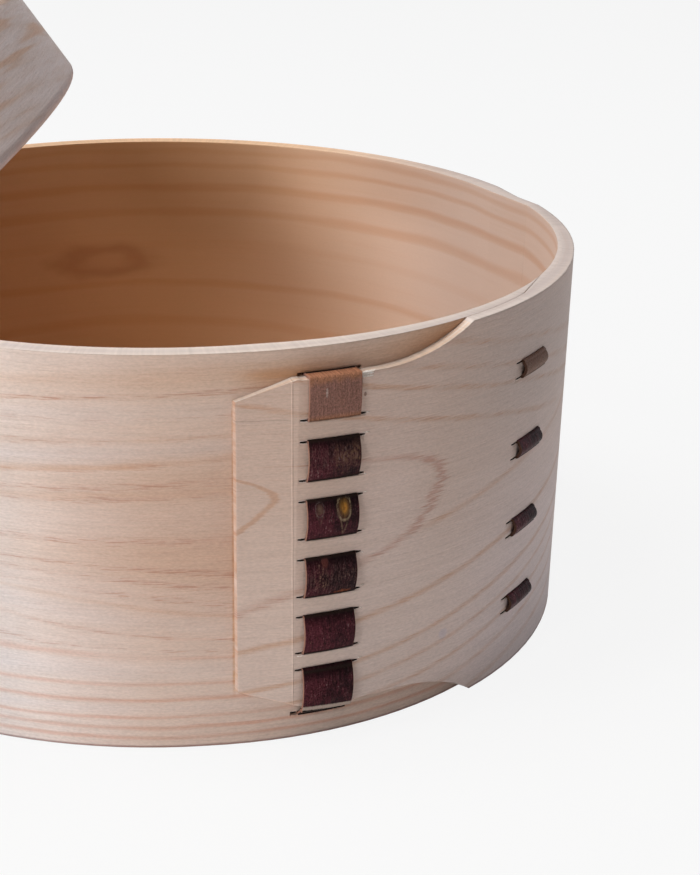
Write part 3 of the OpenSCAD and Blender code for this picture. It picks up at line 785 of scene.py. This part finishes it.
def stitch_wear(strip, colour):
    """Olive and pale wear on the second and the fourth front stitch."""
    second, fourth = strip.z.bump(SECOND_Z, WEAR_HALF), strip.z.bump(FOURTH_Z, WEAR_HALF)
    patch = (strip.mottle * 0.5 + strip.grit + strip.streak * 0.6).fade(-0.1, 0.3)
    worn = (second + fourth) * (strip.line + strip.fine).fade(-0.1, 0.3)
    return strip.s.painted(colour, [
        (second * strip.u.fade(-0.9, 0.6) * patch * 0.8, OLIVE_BARK),
        (strip.fleck * (second * 0.6 + 0.16), PALE_FLECK),
        (worn * 0.5, WORN_BARK),
    ])


def branch_eyes(strip, colour):
    """A brown and a yellow branch eye on the third front stitch."""
    broken, brown, yellow = strip.broken, strip.oval(*BROWN_EYE), strip.oval(*YELLOW_EYE, 0.7)
    return strip.s.painted(colour, [
        (brown.fade(1.1, 0.4) * (broken * 0.5 + 0.35), BROWN_EYE_SKIN),
        (brown.bump(1.1, 0.2) * broken * 0.25, PALE_FLECK),
        (strip.tails(*BROWN_EYE, 2.6) * broken * 0.3, BROWN_EYE_TAIL),
        (yellow.fade(1.1, 0.6) * (broken * 0.6 + 0.25), YELLOW_EYE_SKIN),
        (yellow.fade(0.7, 0.2) * (broken * 0.7 + 0.25), YELLOW_EYE_CORE),
        (yellow.bump(1.1, 0.2) * broken * 0.7, YELLOW_EYE_RIM),
        (strip.tails(*YELLOW_EYE, 2.5) * broken * 0.5, YELLOW_EYE_TAIL),
    ])


def torn_marks(strip, colour):
    """A flap, a rusty chip and a scar on the fourth front stitch."""
    scar = strip.oval(*SCAR, 1.2).fade(1.2, 0.5) * (strip.line * 1.2 + strip.fine).fade(0.0, 0.35)
    return strip.s.painted(colour, [
        (strip.oval(*FLAP, 0.8).fade(1.1, 0.7) * 0.8, FLAP_BARK),
        (strip.oval(*CHIP, 0.8).fade(1.2, 0.6) * (strip.broken * 0.6 + 0.2), RUST_FLAKE),
        (scar * 0.8, SCAR_BARK),
    ])


def stitch_ends(strip, colour, phase):
    """Slits of painted shade at the stitches' feet and heads, and the underside of the lowest stitch above
    another such slit.
    """
    edge = strip.z + strip.u * 0.06 + strip.grit * 0.3
    underside = strip.s.shaded(UNDER_BARK, 1.0 + strip.streak * 0.4)
    return strip.s.painted(colour, [
        (phase.fade(0.62, 0.3) * strip.z.above(13.0), SLIT_SHADE_AND_CRACK),
        (phase.bump(STITCH_TALL, 0.45), SLIT_SHADE_AND_CRACK),
        (edge.fade(UNDERSIDE_TOP, UNDERSIDE_TOP - 0.3), underside),
        (edge.fade(SLIT_TOP, SLIT_TOP - 0.2), SLIT_SHADE_AND_CRACK),
    ])


def front_lacing_bark():
    """The box's front lacing: each stitch has its own redness, wear and marks."""
    strip = BarkStrip("front_bark", FRONT_AZ, FRONT_W)
    s, z = strip.s, strip.z
    phase = (z - STITCH_FOOT).math("FLOORED_MODULO", STITCH_PITCH)
    shadow = (phase + strip.mottle * 1.5).fade(STITCH_TALL - 2.0, STITCH_TALL - 0.2)
    colour = stitch_wear(strip, strip.dark(s.curve(z, FRONT_REDNESS)))
    colour = s.shaded(colour, 1.0 - shadow * 0.72)
    colour = torn_marks(strip, branch_eyes(strip, colour))
    return strip.end(stitch_ends(strip, colour, phase))


def lock_bark(name, az, width, top, low, cut=CUT_BARK, skin=PINK_BARK, bend=ORANGE_BARK, **where):
    """The bark that locks a lacing, lighter where it bends at its top and its foot."""
    strip = BarkStrip(name, az, width, **where)
    s, z = strip.s, strip.z
    bent = (z + strip.mottle * 2.0).fade(top - 1.6, top - 0.4) + z.fade(low + 1.2, low + 0.2)
    scratch = strip.oval(-1.5, low + 0.64 * (top - low), 0.2, 1.0, 1.5).fade(1.0, 0.5)
    colour = s.painted(s.mix((bent * 0.85 + strip.mottle * 0.3).math("MAXIMUM", 0.0), skin, bend), [
        (strip.fleck * 0.25, LOCK_FLECK),
        (scratch * (0.55 if skin == PINK_BARK else 0.0), LOCK_SCRATCH),
    ])
    colour = s.shaded(colour, 1.0 + strip.streak * 0.6 + strip.grit * 0.5 + strip.fine * 2.6)
    # Painted shade where the bark sinks towards the slot on the seam, and where it enters the slot at its
    # foot.
    colour = s.painted(colour, [
        (strip.over_seam.fade(0.55, 0.3), SLIT_SHADE_AND_CRACK),
        (z.fade(low + 0.55, low + 0.25) * 0.75, DULL_CUT_AND_SHADE),
    ])
    return strip.end(colour, 0.5, cut)


def lacing_bark(name, az, width, **where):
    """A plain dark lacing."""
    strip = BarkStrip(name, az, width, **where)
    colour = strip.s.mix(strip.fleck * 0.2, strip.dark(0.3), PALE_FLECK)
    return strip.end(colour, cut=DULL_CUT_AND_SHADE)


# Heights at which the lacing passes through the lap.
FRONT_PASSES = (52.54, 49.19, 43.18, 39.83, 33.83, 30.48, 24.47, 21.12, 15.11, 12.26)
SIDE_PASSES = (53.15, 50.6, 39.65, 37.1, 26.15, 23.6, 12.65, 10.1)
# Along the lap: a slot's left end, the bark's left and right edge in it, and its right end.
FRONT_ENDS, SIDE_ENDS = (11.85, 12.95, 21.15, 22.25), (54.11, 55.8, 63.6, 64.11)

# How far ragged lips close a slot from below and from above: at its left end, midway to the bark, at the
# bark's left and right edge, and at its right end.
LIPS_BELOW = (0.20, 0.10, 0.13, 0.03, 0.20)
LIPS_ABOVE = (0.16, 0.14, 0.10, 0.04, 0.20)
# How far the lips' face and back stand off the lap's face, and below which level they are painted dark as
# shade.
LIP_FACE, LIP_BACK, LIP_SHADE = -0.01, -0.35, -0.05

# Torn fibres, by distance along the lap: one at each front slot's right end, a row beside the lock's top,
# and a single one (its u, z, length, lean, rise and width).
SLOT_FIBRE_U, SLOT_FIBRE_RISE, SLOT_FIBRE_WIDE = 22.3, 0.14, 0.2
ROW_U, ROW_Z, ROW_STEP, ROW_COUNT, ROW_RISE, ROW_WIDE = 21.0, 58.6, 0.1, 18, 0.16, 0.26
SINGLE_FIBRE = (12.2, 14.85, 1.1, 12.0, 0.3, 0.12)
FIBRE_STEPS = 4

# Raw wood on the lips and the fibres, as linear reflectance.
LIP_DARK, LIP_PALE = (0.58, 0.46, 0.40), (0.66, 0.53, 0.47)
TORN_DARK, TORN_PALE = (0.74, 0.65, 0.58), (0.90, 0.85, 0.81)
RAW_ROUGH, RAW_GRAIN = 0.7, 0.00005


def lap_point(u, z, out=0.0):
    """A point from its distance along the lap, its height and how far it stands off the lap's face."""
    (cx, cy), r = lap_circles(BOX_R, BOX_WALL)[0]
    turn = math.radians(LAP_ZERO_AZ) + u / r
    return Vector((cx + (r + out) * math.cos(turn), cy + (r + out) * math.sin(turn), z)) * MM


def lip(verts, faces, outline):
    """A sliver of wood set in a slot: an outline along the lap, sunk below its face."""
    first, n = len(verts), len(outline)
    verts += [lap_point(u, z, out) for out in (LIP_BACK, LIP_FACE) for u, z in outline]
    low, high = range(first, first + n), range(first + n, first + 2 * n)
    faces += [tuple(reversed(low)), tuple(high)]
    faces += [(low[k - 1], low[k], high[k], high[k - 1]) for k in range(n)]


def slot_lips(verts, faces, height, ends):
    """Narrows both ends of a slot: even on the left, to a point on the right."""
    left, bark_left, bark_right, right = ends
    places = (left, (left + bark_left) / 2, bark_left, bark_right, right)
    foot, head = height - SLOT_ROOM, height + BARK_T + SLOT_ROOM
    for wall, side, sizes in ((foot, 1, LIPS_BELOW), (head, -1, LIPS_ABOVE)):
        ragged = [(u, wall + side * size) for u, size in zip(places, sizes)]
        left_lip = ragged[:3] + [(bark_left, wall), (left, wall)]
        right_lip = ragged[3:] + [(right, wall), (bark_right, wall)]
        for outline in (left_lip, right_lip):
            lip(verts, faces, outline[::-side])


def torn_fibre(verts, faces, u, z, length, lean, rise, wide):
    """A torn fibre that tapers to a tip and lifts off the lap's face."""
    first = len(verts)
    along, up = math.cos(math.radians(lean)), math.sin(math.radians(lean))
    for k in range(FIBRE_STEPS):
        t = k / FIBRE_STEPS
        half = wide / 2 * (1 - 0.7 * t)
        at_u, at_z = u + length * t * along, z + length * t * up
        out = rise * math.sin(math.pi * t) - 0.02
        verts.append(lap_point(at_u + half * up, at_z - half * along, out))
        verts.append(lap_point(at_u - half * up, at_z + half * along, out))
        verts.append(lap_point(at_u, at_z, out + wide * 0.6))
    tip = len(verts)
    verts.append(lap_point(u + length * along, z + length * up, rise * 0.5))
    faces.append((first + 1, first, first + 2))
    for a in range(first, tip - 3, 3):
        faces += [(a + j, a + (j + 1) % 3, a + 3 + (j + 1) % 3, a + 3 + j)[::-1] for j in range(3)]
    faces += [(tip - 3 + j, tip - 3 + (j + 1) % 3, tip)[::-1] for j in range(3)]


def raw_wood(s, dark, pale):
    """Colour and speckle of wood without a planed face."""
    x, y, z = s.object_mm()
    speck = s.noise(x * 3.0, y * 3.0, z * 5.0, 2.0, 0.6)
    return s.mix(speck.fade(-0.2, 0.2), dark, pale), speck


def torn_wood():
    """Bare pale wood of the torn fibres."""
    s = Shader("torn_wood")
    colour, speck = raw_wood(s, TORN_DARK, TORN_PALE)
    return s.finish(colour, RAW_ROUGH + speck * 0.2, speck, RAW_GRAIN)


def lip_wood():
    """The lap's wood on a lip's face, and painted shade in the slot behind it."""
    s = Shader("lip_wood")
    colour, speck = raw_wood(s, LIP_DARK, LIP_PALE)
    x, y, _ = s.object_mm()
    centre, r = lap_circles(BOX_R, BOX_WALL)[0]
    colour = s.mix((s.radius(x, y, centre) - r).below(LIP_SHADE), colour, SLOT_PAINTED_SHADE)
    return s.finish(colour, RAW_ROUGH + speck * 0.2, speck, RAW_GRAIN, WOOD_SPECULAR)


def piece(name, verts, faces, material):
    """A piece of hoop wood that belongs to the box."""
    mesh = bpy.data.meshes.new(name)
    mesh.from_pydata(verts, [], faces)
    mesh.materials.append(material)
    made = bpy.data.objects.new(name, mesh)
    bpy.context.scene.collection.objects.link(made)
    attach(made, "box")


def make_slot_lips():
    """Ragged lips in the slots of both columns."""
    verts, faces = [], []
    for passes, ends in ((FRONT_PASSES, FRONT_ENDS), (SIDE_PASSES, SIDE_ENDS)):
        for height in passes:
            slot_lips(verts, faces, height, ends)
    piece("box_slot_lips", verts, faces, lip_wood())


def make_slot_fibres():
    """Torn fibres where the chisel left them."""
    verts, faces = [], []
    for k, height in enumerate(FRONT_PASSES):
        swing = math.sin(2.3 * k)
        z, length, lean = height + 0.3 + 0.25 * swing, 0.5 + 0.2 * swing, 20 * swing - 8
        torn_fibre(verts, faces, SLOT_FIBRE_U, z, length, lean, SLOT_FIBRE_RISE, SLOT_FIBRE_WIDE)
    for k in range(ROW_COUNT):
        swing = math.sin(2.1 * k)
        u, z, length, lean = ROW_U + ROW_STEP * k, ROW_Z + 0.28 * swing, 0.8 + 0.25 * swing, 14 + 14 * swing
        torn_fibre(verts, faces, u, z, length, lean, ROW_RISE, ROW_WIDE)
    torn_fibre(verts, faces, *SINGLE_FIBRE)
    piece("box_slot_fibres", verts, faces, torn_wood())


# The floor's own white, how much of the lamps' light and the object's shadow shows on it, and what it
# throws back on the object. Then its half width and how far it lies below the box.
FLOOR_WHITE, FLOOR_SHADOW, FLOOR_BOUNCE = 0.885, 0.06, 0.95
FLOOR_REACH, FLOOR_DROP = 3.0, 0.0002

# Soft square lamps, all a metre from LAMP_TARGET: azimuth, elevation, size, power and colour.
LAMP_TARGET = Vector((0, 0, 0.03))
LAMPS = {
    "high_left": (-178, 67, 0.4, 5.3, (1.0, 0.98, 0.95)),
    "low_left": (-155, 12, 0.22, 2.0, (1.0, 1.0, 1.0)),
    "mid_left": (-150, 42, 0.2, 2.2, (1.0, 1.0, 1.0)),
    "front_left": (-125, 28, 0.2, 2.3, (0.97, 0.98, 1.0)),
    "back_left": (160, 40, 0.5, 3.9, (0.81, 0.9, 1.0)),
    "top": (-90, 85, 0.8, 2.0, (1.0, 0.95, 0.84)),
    "right": (20, 12, 0.6, 1.85, (0.82, 0.88, 1.0)),
}

# Faces that meet at more than this many degrees keep a sharp edge.
SHARP_FROM = {"box_hoop": 8, "lid_hoop": 20}
SHARP_FROM_ELSEWHERE = 35


def grey(level):
    """An opaque grey for a colour socket."""
    return level, level, level, 1


def make_camera():
    """The photograph's camera, with its axis off the picture's middle."""
    data = bpy.data.cameras.new("camera")
    camera = bpy.data.objects.new("camera", data)
    bpy.context.scene.collection.objects.link(camera)
    camera.location = Vector(CAM_AT) * MM
    camera.rotation_euler = Euler((math.radians(90 - CAM_PITCH), 0, -CAM_TURN))
    data.sensor_width = SENSOR
    data.lens = FOCAL_PX * SENSOR / FRAME_H
    data.shift_x = (FRAME_W / 2 - AXIS_X_PX) / FRAME_H
    data.clip_start, data.clip_end = 0.01, 50
    bpy.context.scene.camera = camera


def seen_directly(tree):
    """1 for the camera's own rays and for what is seen in a gloss or through glass, else 0."""
    path = tree.nodes.new("ShaderNodeLightPath")
    rays = [Field(tree, path.outputs["Is %s Ray" % kind]) for kind in ("Camera", "Glossy", "Transmission")]
    return (rays[0] + rays[1] + rays[2]).math("MINIMUM", 1.0)


def make_floor():
    """A white floor that keeps the object's shadow, and lights the object as a pale matt floor would."""
    corners = [(-1, -1), (1, -1), (1, 1), (-1, 1)]
    mesh = bpy.data.meshes.new("floor")
    mesh.from_pydata([(x * FLOOR_REACH, y * FLOOR_REACH, 0) for x, y in corners], [], [(0, 1, 2, 3)])
    floor = bpy.data.objects.new("floor", mesh)
    bpy.context.scene.collection.objects.link(floor)
    floor.location.z = -FLOOR_DROP
    s = Shader("floor")
    mesh.materials.append(s.material)
    white, matt = s.node("ShaderNodeEmission"), s.node("ShaderNodeBsdfDiffuse")
    white.inputs["Color"].default_value = grey(FLOOR_WHITE)
    matt.inputs["Color"].default_value = grey(FLOOR_SHADOW)
    seen = s.node("ShaderNodeAddShader")
    s.tree.links.new(white.outputs[0], seen.inputs[0])
    s.tree.links.new(matt.outputs[0], seen.inputs[1])
    bounce = s.node("ShaderNodeBsdfDiffuse")
    bounce.inputs["Color"].default_value = grey(FLOOR_BOUNCE)
    mix = s.node("ShaderNodeMixShader")
    plug(s.tree, seen_directly(s.tree), mix.inputs[0])
    s.tree.links.new(bounce.outputs[0], mix.inputs[1])
    s.tree.links.new(seen.outputs[0], mix.inputs[2])
    s.tree.links.new(mix.outputs[0], s.out.inputs["Surface"])


def make_world():
    """A plain backdrop as white as the floor, which is seen but lights no matt surface."""
    world = bpy.data.worlds.new("studio")
    bpy.context.scene.world = world
    world.use_nodes = True
    back = world.node_tree.nodes["Background"]
    back.inputs["Color"].default_value = grey(FLOOR_WHITE)
    plug(world.node_tree, seen_directly(world.node_tree), back.inputs["Strength"])


def make_lamp(name, azimuth, elevation, size, power, colour):
    """A soft lamp that shines at the box."""
    turn, rise = math.radians(azimuth), math.radians(elevation)
    away = Vector((math.cos(rise) * math.cos(turn), math.cos(rise) * math.sin(turn), math.sin(rise)))
    data = bpy.data.lights.new(name, "AREA")
    data.shape, data.size = "SQUARE", size
    data.energy, data.color = power, colour
    light = bpy.data.objects.new(name, data)
    bpy.context.scene.collection.objects.link(light)
    light.location = LAMP_TARGET + away
    light.rotation_euler = (-away).to_track_quat("-Z", "Y").to_euler()


def give(node, material):
    """Gives a whole CAD node one material, smooth but for its sharp edges."""
    data = NODES[node].data
    data.materials.clear()
    data.materials.append(material)
    for polygon in data.polygons:
        polygon.material_index = 0
    data.shade_smooth()
    data.set_sharp_from_angle(angle=math.radians(SHARP_FROM.get(node, SHARP_FROM_ELSEWHERE)))


def lid_place():
    """Where the lid lies at rest: from its own frame, mouth at the origin, to the shared frame."""
    place = Matrix.Translation(Vector(LID_MOUTH) * MM)
    for turn, axis in zip(LID_TURN, "ZYZ"):
        place = place @ Matrix.Rotation(math.radians(turn), 4, axis)
    return place


def dress_box():
    """Gives the box's pieces their looks."""
    give("box_hoop", hoop_wood())
    make_slot_lips()
    make_slot_fibres()
    give("box_bottom", plate_wood("plate_wood"))
    give("box_front_lacing", front_lacing_bark())
    give("box_front_lock", lock_bark("front_lock_bark", FRONT_AZ, FRONT_W, top=59.4, low=52.5))
    give("box_side_lacing", lacing_bark("side_bark", SIDE_AZ, SIDE_W))
    dull = {"cut": DULL_CUT_AND_SHADE, "skin": GREY_BARK, "bend": BROWN_BARK}
    give("box_side_lock", lock_bark("side_lock_bark", SIDE_AZ, SIDE_W, top=53.6, low=50.6, **dull))


def dress_lid():
    """Gives the lid's pieces their looks."""
    place = lid_place()
    on_lid = {"placed": place, "r": LID_R, "wall": LID_WALL}
    give("lid_hoop", lid_wood(place))
    give("lid_top", plate_wood("lid_plate_wood", place))
    give("lid_front_lacing", lacing_bark("lid_front_bark", FRONT_AZ, FRONT_W, **on_lid))
    give("lid_front_lock", lock_bark("lid_front_lock_bark", FRONT_AZ, FRONT_W, top=16.0, low=10.0, **on_lid))
    give("lid_side_lacing", lacing_bark("lid_side_bark", SIDE_AZ, SIDE_W, **on_lid))
    give("lid_side_lock", lock_bark("lid_side_lock_bark", SIDE_AZ, SIDE_W, top=15.0, low=12.0, **on_lid))


make_camera()
make_floor()
make_world()
for name, values in LAMPS.items():
    make_lamp(name, *values)
dress_box()
dress_lid()
bpy.context.scene.view_settings.view_transform = "Standard"
